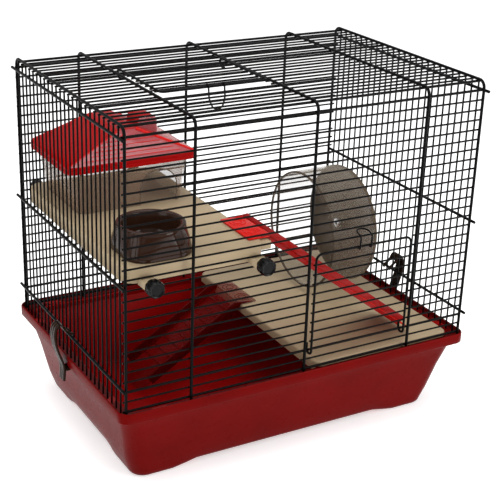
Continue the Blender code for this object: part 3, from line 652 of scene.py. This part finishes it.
def strip(line, thickness):
    """The outline of an even strip along a flat line."""
    sides = ([], [])
    for i, point in enumerate(line):
        before = Vector(line[max(i - 1, 0)])
        after = Vector(line[min(i + 1, len(line) - 1)])
        across = (after - before).normalized().orthogonal() * thickness / 2
        sides[0].append(tuple(Vector(point) + across))
        sides[1].append(tuple(Vector(point) - across))
    return sides[0] + sides[1][::-1]


def fix_normals(mesh):
    bm = bmesh.new()
    bm.from_mesh(mesh)
    bmesh.ops.recalc_face_normals(bm, faces=bm.faces)
    bm.to_mesh(mesh)
    bm.free()


# The shelves and their clamps


def shelf_skin(middle, half, corner, low, top, thin, inset):
    """An open-bottomed tray shape, turned over: rounded top edge, lip and hollow underside."""
    rings = [
        ring(middle, (half[0] - inset, half[1] - inset), max(corner - inset, 0.002), top - thin, 12),
        ring(middle, (half[0] - inset, half[1] - inset), max(corner - inset, 0.002), low + 0.0004, 12),
        ring(middle, (half[0] - inset + 0.0004, half[1] - inset + 0.0004), corner - 0.002, low, 12),
        ring(middle, (half[0] - 0.0004, half[1] - 0.0004), corner, low, 12),
        ring(middle, half, corner, low + 0.0004, 12),
    ]
    for step in range(6):
        turn = step / 5 * pi / 2
        back = SHELF_EDGE * (1 - cos(turn))
        height = top - SHELF_EDGE * (1 - sin(turn))
        rings.append(ring(middle, (half[0] - back, half[1] - back), corner, height, 12))
    return loft(rings)


def upper_shelf():
    """The shelf with its deep lip, the ladder's tongue and the lugs that pass between the bars."""
    low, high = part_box("upper_shelf")
    left, right = low.x, high.x - 0.009
    half = ((right - left) / 2, 0.132)
    middle = ((left + right) / 2, 0)
    top = high.z
    lip = top - 0.017
    meshes = [shelf_skin(middle, half, 0.015, lip, top, 0.0022, 0.0022)]
    tongue = ((right - 0.003, -0.126, top - 0.010), (high.x, -0.054, top - 0.0015))
    meshes.append(box_mesh(*tongue, edge=0.0012))
    for name in ("front_left", "front_right", "back_left", "back_right"):
        knob = joint_place("clamp_knob_" + name + "_turn")
        side = 1 if knob.y > 0 else -1
        near, far = sorted((side * 0.1305, side * high.y))
        lug_low, lug_high = (knob.x - 0.007, near, knob.z - 0.0038), (knob.x + 0.007, far, knob.z + 0.0038)
        meshes.append(box_mesh(lug_low, lug_high, edge=0.0008))
    show("upper_shelf_deck", joined(meshes, "upper_shelf"), BEIGE, "cage", "shelf", "upper_shelf")


def lower_shelf():
    """The low shelf across the tray's mouth, with its edge drop and rest tabs."""
    low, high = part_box("lower_shelf")
    left, right = low.x, high.x - 0.0045
    middle = ((left + right) / 2, -0.0015)
    half = ((right - left) / 2, 0.1340)
    top = high.z
    meshes = [shelf_skin(middle, half, 0.009, WIRE_FOOT, top, 0.0024, 0.008)]
    meshes.append(box_mesh((left + 0.0006, -0.1310, low.z), (left + 0.0030, 0.1290, WIRE_FOOT + 0.002)))
    tab_half, tab_top = 0.010, WIRE_FOOT + 0.0025
    for y in (-0.050, 0.090):
        tab_low, tab_high = (right - 0.009, y - tab_half, WIRE_FOOT), (high.x, y + tab_half, tab_top)
        meshes.append(box_mesh(tab_low, tab_high))
    for x in (0.070, 0.160):
        tab_low, tab_high = (x - tab_half, 0.125, WIRE_FOOT), (x + tab_half, high.y, tab_top)
        meshes.append(box_mesh(tab_low, tab_high))
    show("lower_shelf_deck", joined(meshes, "lower_shelf"), BEIGE, "cage", "shelf", "lower_shelf")


def knob(name):
    """A black hand nut with a scalloped edge and a dished face, and its stud."""
    low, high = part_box(name)
    place = joint_place(name + "_turn")
    side = 1 if place.y > 0 else -1
    outer = (high.x - low.x) / 2
    face = max(abs(low.y), abs(high.y))
    depth = face - KNOB_SEAT
    steps = 96
    levels = [(0.80, 0.0), (0.94, 0.0012), (0.985, 0.0030), (1.0, depth * 0.55), (0.985, depth - 0.0028)]
    levels += [(0.93, depth - 0.0010), (0.84, depth), (0.70, depth - 0.0003), (0.60, depth - 0.0013)]
    levels += [(0.30, depth - 0.0014), (0.12, depth - 0.0012)]
    rings = []
    for share, height in levels:
        loop = []
        for step in range(steps):
            turn = 2 * pi * step / steps
            scallop = 1 - KNOB_SCALLOP * (0.5 + 0.5 * cos(KNOB_LOBES * turn)) ** 3 * (share > 0.8)
            reach = outer * share * scallop
            loop.append(Vector((reach * cos(turn), reach * sin(turn), height)))
        rings.append(loop)
    body = loft(rings)
    stud = turned([(0.0020, -0.0063), (0.0020, 0.001)], 20, Matrix.Identity(4), round_again=False)
    made = joined([body, stud], name)
    stand = Matrix.Translation((place.x, side * (face - depth), place.z))
    made.transform(stand @ Matrix.Rotation(-side * pi / 2, 4, "X"))
    fix_normals(made)
    show(name + "_nut", made, KNOB_BLACK, name, "knob", name, angle=45)


# The ladders


def ladder(name, looks, hook_x, plate_end, hook_z, ramp_end, sign):
    """A ramp with side rails, ribs and raised rings on its hook plate.

    Looks are the ramp's and the rails' materials. Sign is 1 if the ramp runs down towards +X.
    """
    low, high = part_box(name)
    width = high.y - low.y
    thin, rail = LADDER_THICKNESS, LADDER_THICKNESS
    start = Vector((plate_end, hook_z + 0.0002))
    run = Vector(ramp_end) - start
    slope, length = atan2(-run.y, run.x), run.length
    corner = LADDER_CORNER
    deck = [(0.0, -width / 2), (length - corner, -width / 2)]
    deck += arc((length - corner, -width / 2 + corner), corner, -90, 0, 10)[1:]
    deck += arc((length - corner, width / 2 - corner), corner, 0, 90, 10)
    deck += [(0.0, width / 2)]
    tilt = Matrix.Translation((start.x, 0, start.y)) @ Matrix.Rotation(slope, 4, "Y")
    meshes = [prism(deck, -thin / 2, thin / 2, tilt)]
    plate_low, plate_high = (hook_x, -width / 2, hook_z), (plate_end + 0.001, width / 2, hook_z + thin)
    meshes.append(box_mesh(plate_low, plate_high, edge=0.0005))
    rail_low, rail_high = 0.0045, 0.0075
    foot = length - corner - 0.004
    lower = [tilt @ Vector((0.005, 0, -rail_low)), tilt @ Vector((foot, 0, -rail_low))]
    upper = [tilt @ Vector((foot, 0, rail_high)), tilt @ Vector((0.004, 0, rail_high))]
    side = [(hook_x + 0.004, hook_z + 0.0010), (plate_end - 0.001, hook_z + 0.0010)]
    side += [(point.x, point.z) for point in lower + upper]
    for y in (-width / 2 + rail / 2, width / 2 - rail / 2):
        meshes.append(prism(side, -rail / 2, rail / 2, upright(y)))
        for face in meshes[-1].polygons:
            face.material_index = 1
    for step in range(1, int(foot / LADDER_RIB_PITCH)):
        along = LADDER_RIB_PITCH * step
        rib_low, rib_high = (along, -width / 2 + rail / 2, 0), (along + 0.002, width / 2 - rail / 2, 0.0025)
        rib = box_mesh(rib_low, rib_high, edge=0.0005)
        rib.transform(tilt)
        meshes.append(rib)
    for radius in PLATE_RINGS:
        bead = [(radius + 0.0006 * cos(turn), 0.0006 * sin(turn)) for turn in (0, pi / 2, pi, 3 * pi / 2)]
        for y in (-width / 4, width / 4):
            spot = Matrix.Translation(((hook_x + plate_end) / 2, y, hook_z + thin))
            meshes.append(turned(bead, 40, spot))
    made = joined(meshes, name)
    made.transform(Matrix.Translation((0, (low.y + high.y) / 2, 0)) @ Matrix.Diagonal((sign, 1, 1, 1)))
    fix_normals(made)
    show(name + "_ramp", made, looks[0], name, "ladder", name)
    made.materials.append(looks[1])


def ladders():
    hook = joint_place("upper_ladder_lift")
    ladder("upper_ladder", (LADDER_RED, LADDER_EDGE), hook.x, -0.0365, hook.z, (0.1530, 0.1027), 1)
    hook = joint_place("lower_ladder_lift")
    ladder("lower_ladder", (LADDER_DEEP, DEEP_EDGE), -hook.x, -0.0170, hook.z, (0.1135, 0.0136), -1)


# The house and the bowl


def house_base():
    """Clear walls with an arched doorway and the raised lip that frames it."""
    low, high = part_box("house_base")
    centre = ((low.x + high.x) / 2, (low.y + high.y) / 2)
    half = ((high.x - low.x) / 2, (high.y - low.y) / 2)
    foot_half = (half[0] - HOUSE_FOOT_INSET[0], half[1] - HOUSE_FOOT_INSET[1])
    floor, top = low.z, high.z
    wall = HOUSE_WALL
    outline = [(floor, foot_half, 0.010), (top, half, 0.012)]
    rings = [ring(centre, size, corner, z, 10) for z, size, corner in outline]
    inner = []
    for z, size, corner in outline[::-1]:
        inner.append(ring(centre, (size[0] - wall, size[1] - wall), corner - wall, z, 10))
    walls = bpy.data.objects.new("house_walls_raw", loft(rings + inner, round_again=True))
    door_x, radius, spring = DOORWAY_X, DOORWAY_RADIUS, floor + DOORWAY_SPRING
    doorway = arc((door_x, spring), radius, 0, 180, 24)
    doorway += [(door_x - radius, floor - 0.01), (door_x + radius, floor - 0.01)]
    opening = prism(doorway, -0.015, 0.015, upright(centre[1] - 0.052), edge=0)
    cutter = bpy.data.objects.new("doorway", opening)
    for made in (walls, cutter):
        bpy.context.scene.collection.objects.link(made)
    step = walls.modifiers.new("doorway", "BOOLEAN")
    step.object = cutter
    step.solver = "EXACT"
    graph = bpy.context.evaluated_depsgraph_get()
    mesh = bpy.data.meshes.new_from_object(walls.evaluated_get(graph))
    for made in (walls, cutter):
        bpy.data.objects.remove(made)
    show("house_walls", mesh, CLEAR, "cage", "house_clear", "house_base", angle=40)

    arch = arc((door_x, spring), radius, 0, 180, 24)
    lip = []
    for x, z in [(door_x + radius, floor), *arch, (door_x - radius, floor)]:
        wall_y = foot_half[1] + (half[1] - foot_half[1]) * (z - floor) / (top - floor)
        lip.append((x, centre[1] - wall_y + wall / 2, max(z, floor + 0.0008)))
    ribs([(0.0007, lip)], "house_doorway_lip", CLEAR_EDGE, "cage", "house_clear")


def slope_point(eave, peak, u, v):
    """A point on a roof slope: u along it and v up it, between its eave's and its top edge's two ends."""
    return eave[0].lerp(eave[1], u).lerp(peak[0].lerp(peak[1], u), v)


def roof():
    """The hipped roof: a hollow red shell with a paler front slope, whose paleness is a painted reflection,
    its raised lines and the chimney.
    """
    low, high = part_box("house_roof")
    centre = Vector(((low.x + high.x) / 2, (low.y + high.y) / 2, 0))
    half_x, half_y = (high.x - low.x) / 2, (high.y - low.y) / 2
    eave, band, top = low.z, low.z + ROOF_BAND, low.z + ROOF_RISE
    corner, wall = ROOF_CORNER, HOUSE_WALL
    peak_centre, peak_half = (centre.x + 0.001, centre.y), ROOF_TOP_HALF

    def level(inset, share_half, around, height, round_by):
        half = (share_half[0] - inset, share_half[1] - inset)
        return ring(around, half, max(round_by - inset, 0.001), height, 8)

    def skin(inset):
        side = (half_x, half_y)
        return [
            level(inset, side, centre, eave, corner),
            level(inset, side, centre, eave + 0.0030, corner),
            level(inset + 0.0006, side, centre, eave + 0.0036, corner),
            level(inset + 0.0006, side, centre, eave + 0.0046, corner),
            level(inset, side, centre, eave + 0.0052, corner),
            level(inset, side, centre, band - 0.0006, corner),
            level(inset + 0.0008, side, centre, band, corner),
            level(inset, peak_half, peak_centre, top, 0.002),
        ]

    outer = skin(0.0)
    inner = [[point - Vector((0, 0, wall * 0.8)) for point in points] for points in skin(wall)]
    inner[0] = [Vector((point.x, point.y, eave)) for point in inner[0]]
    bm = bmesh.new()
    loops = [[bm.verts.new(point) for point in points] for points in inner[::-1] + outer]
    bm.faces.new(loops[0])
    bm.faces.new(loops[-1])
    for lower, upper in zip(loops, loops[1:]):
        for i, start in enumerate(lower):
            j = (i + 1) % len(lower)
            face = bm.faces.new((start, lower[j], upper[j], upper[i]))
            middle = face.calc_center_median()
            on_slope = band + 0.001 < middle.z < top - 0.001
            face.normal_update()
            # Faces of the front slope take the paler material: a painted reflection on the slope that faces
            # the front lights.
            if on_slope and abs(face.normal.y) > 0.3 and middle.y < centre.y - 0.02:
                face.material_index = 1
    mesh = mesh_of(bm, "roof")
    show("house_roof_shell", mesh, ROOF_RED, "house_roof", "house_red", "house_roof", angle=25)
    mesh.materials.append(ROOF_PAINTED_REFLECTION)

    front_eave = (
        Vector((low.x + corner, low.y + 0.0008, band)),
        Vector((high.x - corner, low.y + 0.0008, band)),
    )
    front_peak = (
        Vector((peak_centre[0] - peak_half[0], peak_centre[1] - peak_half[1], top)),
        Vector((peak_centre[0] + peak_half[0], peak_centre[1] - peak_half[1], top)),
    )
    paths = []
    for line in range(1, 7):
        v = line / 7.5
        paths.append((0.0004, [slope_point(front_eave, front_peak, u, v) for u in (0.03, 0.97)]))
    mark = [(0.30, 0.93), (0.30, 0.75), (0.34, 0.68), (0.42, 0.66), (0.50, 0.70), (0.53, 0.80)]
    paths.append((0.0006, [slope_point(front_eave, front_peak, u, v) for u, v in mark]))
    ribs(paths, "roof_shingle_lines", ROOF_RIB)
    right_eave = Vector((high.x - corner * 0.4, low.y + corner * 0.4, band))
    left_eave = Vector((low.x + corner * 0.4, low.y + corner * 0.4, band))
    back_right = Vector((high.x - corner * 0.4, high.y - corner * 0.4, band))
    back_left = Vector((low.x + corner * 0.4, high.y - corner * 0.4, band))
    reach_x, reach_y = peak_half[0] - 0.0006, peak_half[1] - 0.0006
    peaks = [
        Vector((peak_centre[0] + side_x * reach_x, peak_centre[1] + side_y * reach_y, top))
        for side_x, side_y in ((1, -1), (-1, -1), (1, 1), (-1, 1))
    ]
    hips = [
        (0.0019, [right_eave, peaks[0]]),
        (0.0008, [left_eave, peaks[1]]),
        (0.0010, [back_right, peaks[2]]),
        (0.0008, [back_left, peaks[3]]),
    ]
    ribs(hips, "roof_hip_ribs", ROOF_RIB)
    chimney(centre, high.z)


def ribs(paths, name, look, body="house_roof", slot="house_red"):
    """Thin raised lines moulded on the house."""
    curve = bpy.data.curves.new(name, "CURVE")
    curve.dimensions = "3D"
    unit = 0.001
    curve.bevel_depth = unit
    curve.bevel_resolution = 2
    curve.use_fill_caps = True
    for radius, points in paths:
        line = curve.splines.new("POLY")
        line.points.add(len(points) - 1)
        for spot, place in zip(line.points, points):
            spot.co = (*place, 1)
            spot.radius = radius / unit
    show(name, curve, look, body, slot)


def chimney(centre, height):
    """A round-topped chimney: a pale front and back in the roof's painted-reflection material, and a red
    band over its top.
    """
    x, y, foot = centre.x + 0.035, centre.y, height - CHIMNEY_RISE
    half, depth, rounding = CHIMNEY_HALF, CHIMNEY_DEPTH, CHIMNEY_ROUNDING
    outline = [(x - half, foot), (x + half, foot)]
    outline += arc((x + half - rounding, height - rounding), rounding, 0, 90, 10)
    outline += arc((x - half + rounding, height - rounding), rounding, 90, 180, 10)
    mesh = prism(outline, -depth, depth, upright(y), edge=0.0008)
    show("house_chimney", mesh, ROOF_RED, "house_roof", "house_red", angle=35)
    mesh.materials.append(ROOF_PAINTED_REFLECTION)
    # Front and back faces take the paler material: painted reflection, as on the roof's front slope.
    for face in mesh.polygons:
        if abs(face.normal.y) > 0.9:
            face.material_index = 1


def bowl():
    """A food bowl: a square foot with round corners that turns into a round, rolled mouth."""
    low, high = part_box("feed_bowl")
    centre = ((low.x + high.x) / 2, (low.y + high.y) / 2)
    reach = (high.x - low.x) / 2
    floor, height = low.z, high.z - low.z
    section = [  # (share of the reach, share of roundness, share of the height)
        (0.960, 0.60, 0.00),
        (0.985, 0.62, 0.012),
        (1.000, 0.64, 0.05),
        (0.997, 0.70, 0.20),
        (0.985, 0.80, 0.45),
        (0.968, 0.94, 0.70),
        (0.955, 1.00, 0.86),
        (0.950, 1.00, 0.94),
        (0.942, 1.00, 0.98),
        (0.920, 1.00, 1.00),
        (0.860, 1.00, 0.998),
        (0.820, 1.00, 0.985),
        (0.795, 1.00, 0.95),
        (0.775, 1.00, 0.88),
        (0.745, 1.00, 0.60),
        (0.710, 1.00, 0.36),
        (0.655, 1.00, 0.22),
        (0.560, 1.00, 0.165),
        (0.300, 1.00, 0.16),
    ]
    rings = []
    for share, roundness, up in section:
        half = reach * share
        rings.append(ring(centre, (half, half), half * roundness * 0.9999, floor + height * up, 16))
    show("feed_bowl_body", loft(rings), BROWN, "feed_bowl", "bowl", "feed_bowl", angle=60)


# The wheel


def along_x(x, y, z):
    """Turns a profile's height to run along -X from the given point."""
    return Matrix.Translation((x, y, z)) @ Matrix.Rotation(-pi / 2, 4, "Y")


def wheel():
    """The clear drum with its rolled mouth, the smoke-tinted disc with its hub, the pin and the bracket."""
    low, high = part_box("wheel_drum")
    hub = joint_place("wheel_spin")
    outer = (high.z - low.z) / 2
    width = high.x - low.x
    place = along_x(high.x, hub.y, hub.z)
    wall = DRUM_WALL
    drum = [
        (outer - wall, 0.0050),
        (outer - wall, width - 0.0030),
        (outer - wall - 0.0018, width - 0.0016),
        (outer - wall - 0.0018, width - 0.0004),
        (outer - wall - 0.0010, width),
        (outer - 0.0005, width),
        (outer, width - 0.0006),
        (outer, 0.0050),
    ]
    tube = turned(drum, WHEEL_STEPS, place)
    show("wheel_drum_ring", tube, DRUM_CLEAR, "wheel", "wheel", "wheel_drum", angle=40)
    disc = [
        (0.0033, 0.0006),
        (0.0033, 0.0080),
        (0.0076, 0.0080),
        (0.0082, 0.0074),
        (0.0094, 0.0020),
        (outer * 0.45, 0.0019),
        (outer * 0.46, 0.0025),
        (outer * 0.48, 0.0025),
        (outer * 0.49, 0.0019),
        (outer - 0.0060, 0.0019),
        (outer - 0.0022, 0.0040),
        (outer - 0.0016, 0.0052),
        (outer, 0.0052),
        (outer, 0.0036),
        (outer - 0.0012, 0.0012),
        (outer - 0.0036, 0.0),
        (0.0110, 0.0),
    ]
    show("wheel_disc", turned(disc, WHEEL_STEPS, place), SMOKE, "wheel", "wheel", angle=35)
    inside, edge = outer - 0.0022, width - 0.0024
    rim = [(inside, edge), (outer, edge), (outer, width), (inside, width)]
    band = turned(rounded_loop(rim), WHEEL_STEPS, place)
    show("wheel_mouth_band", band, SMOKE, "wheel", "wheel", angle=35)
    blunt = 0.0006
    pin = [
        (0.0, 0.0),
        (PIN_RADIUS - blunt, 0.0),
        (PIN_RADIUS, blunt),
        (PIN_RADIUS, PIN_LENGTH - blunt),
        (PIN_RADIUS - blunt, PIN_LENGTH),
        (0.0, PIN_LENGTH),
    ]
    head_start = 0.0203
    head = [
        (0.0, head_start),
        (PIN_HEAD_RADIUS - 0.0005, head_start),
        (PIN_HEAD_RADIUS, head_start + 0.0005),
        (PIN_HEAD_RADIUS, PIN_LENGTH - 0.0005),
        (PIN_HEAD_RADIUS - 0.0010, PIN_LENGTH),
        (0.0, PIN_LENGTH),
    ]
    place = along_x(high.x + 0.0120, hub.y, hub.z)
    meshes = []
    for line in (pin, head):
        profile = [(max(radius, 0.0002), height) for radius, height in line]
        meshes.append(turned(profile, 32, place, round_again=False))
    show("wheel_pin", joined(meshes, "pin"), STEEL, "cage", "pin", "wheel_axle")
    bracket(hub)


def rounded_loop(loop):
    """A closed flat loop with its corners taken off."""
    made = []
    for before, here, after in zip(loop[-1:] + loop[:-1], loop, loop[1:] + loop[:1]):
        here = Vector(here)
        for other in (before, after):
            run = Vector(other) - here
            made.append(tuple(here + run.normalized() * min(0.0005, run.length / 3)))
    return made


def bracket(hub):
    """The small clear plate on the far side of the disc, and the boss that holds the pin."""
    low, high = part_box("wheel_bracket")
    plate = box_mesh((high.x - 0.0030, low.y, low.z), high, edge=0.0010)
    reach = high.x - 0.001 - low.x
    boss = [
        (BOSS_BORE, 0.0),
        (BOSS_BORE, reach),
        (BOSS_RADIUS - 0.0007, reach),
        (BOSS_RADIUS, reach - 0.001),
        (BOSS_RADIUS, 0.0),
    ]
    place = along_x(high.x - 0.001, hub.y, hub.z)
    data = joined([plate, turned(boss, 48, place)], "bracket")
    show("wheel_bracket_body", data, BRACKET_CLEAR, "cage", "wheel", "wheel_bracket")


# The studio

ROOM_STRENGTH = 0.62
FLOOR_SIZE = 12
FLOOR_DROP = 0.0002
FLOOR_GLOW = 0.42
LIGHT_TARGET = Vector((0, 0, 0.18))
CAMERA_PLACE = (-0.6314, -1.0886, 0.7034)
CAMERA_TURN = Vector((1.9272, -0.4775, 0.3545))  # along the turn's axis, and as long as its angle
CAMERA_LENS = 87.52
CAMERA_SENSOR = 36.0
CAMERA_SHIFT = (0.0423, 0.0079)


def studio():
    """A pale floor, an even white room and three large soft lights."""
    scene = bpy.context.scene
    scene.view_settings.view_transform = "Standard"
    world = bpy.data.worlds.new("room")
    scene.world = world
    world.use_nodes = True
    background = world.node_tree.nodes["Background"]
    background.inputs["Color"].default_value = (1.0, 1.0, 1.0, 1)
    background.inputs["Strength"].default_value = ROOM_STRENGTH
    bm = bmesh.new()
    bmesh.ops.create_grid(bm, x_segments=1, y_segments=1, size=FLOOR_SIZE)
    floor = bpy.data.objects.new("floor", mesh_of(bm, "floor"))
    floor.location.z = -FLOOR_DROP
    scene.collection.objects.link(floor)
    glow = {"Emission Color": (1, 1, 1, 1), "Emission Strength": FLOOR_GLOW}
    paper = moulded("paper", (0.82, 0.82, 0.82), 0.8, grain=0.0, tone=0.005, cloud=2.0, **glow)
    floor.data.materials.append(paper)
    soft_light("key", place=(0.95, -1.55, 0.75), size=(0.9, 1.5), power=22.0)
    soft_light("top", place=(-0.2, 0.1, 1.9), size=(1.8, 1.8), power=32.0)
    soft_light("left", place=(-1.7, -0.5, 0.9), size=(0.9, 1.4), power=9.0)


def soft_light(name, place, size, power):
    """A rectangular lamp that faces the middle of the cage."""
    light = bpy.data.lights.new(name, "AREA")
    light.shape = "RECTANGLE"
    light.size, light.size_y = size
    light.energy = power
    made = bpy.data.objects.new(name, light)
    made.location = place
    aim = LIGHT_TARGET - Vector(place)
    made.rotation_euler = aim.to_track_quat("-Z", "Y").to_euler()
    bpy.context.scene.collection.objects.link(made)


def camera():
    """The camera at the photograph's angle: in front, to the left and above, rolled very slightly."""
    rows = Matrix.Rotation(CAMERA_TURN.length, 3, CAMERA_TURN.normalized())
    right, down, forward = rows[0], rows[1], rows[2]
    made = bpy.data.objects.new("camera", bpy.data.cameras.new("camera"))
    axes = Matrix([(right[i], -down[i], -forward[i]) for i in range(3)])
    made.matrix_world = Matrix.Translation(CAMERA_PLACE) @ axes.to_4x4()
    made.data.lens = CAMERA_LENS
    made.data.sensor_width = CAMERA_SENSOR
    made.data.shift_x, made.data.shift_y = CAMERA_SHIFT
    bpy.context.scene.collection.objects.link(made)
    bpy.context.scene.camera = made


def build():
    face_grille("front_grille", -1, range(FRONT_DOOR_ROWS[0] + 1, FRONT_DOOR_ROWS[1] + 1))
    face_grille("back_grille", 1, range(0))
    top_grille()
    side_grille("left_grille", -1)
    side_grille("right_grille", 1)
    front_door()
    top_door()
    latches()
    tray()
    clip("left_clip", -1)
    clip("right_clip", 1)
    upper_shelf()
    lower_shelf()
    for place in ("front_left", "front_right", "back_left", "back_right"):
        knob("clamp_knob_" + place)
    ladders()
    house_base()
    roof()
    bowl()
    wheel()


build()
studio()
camera()
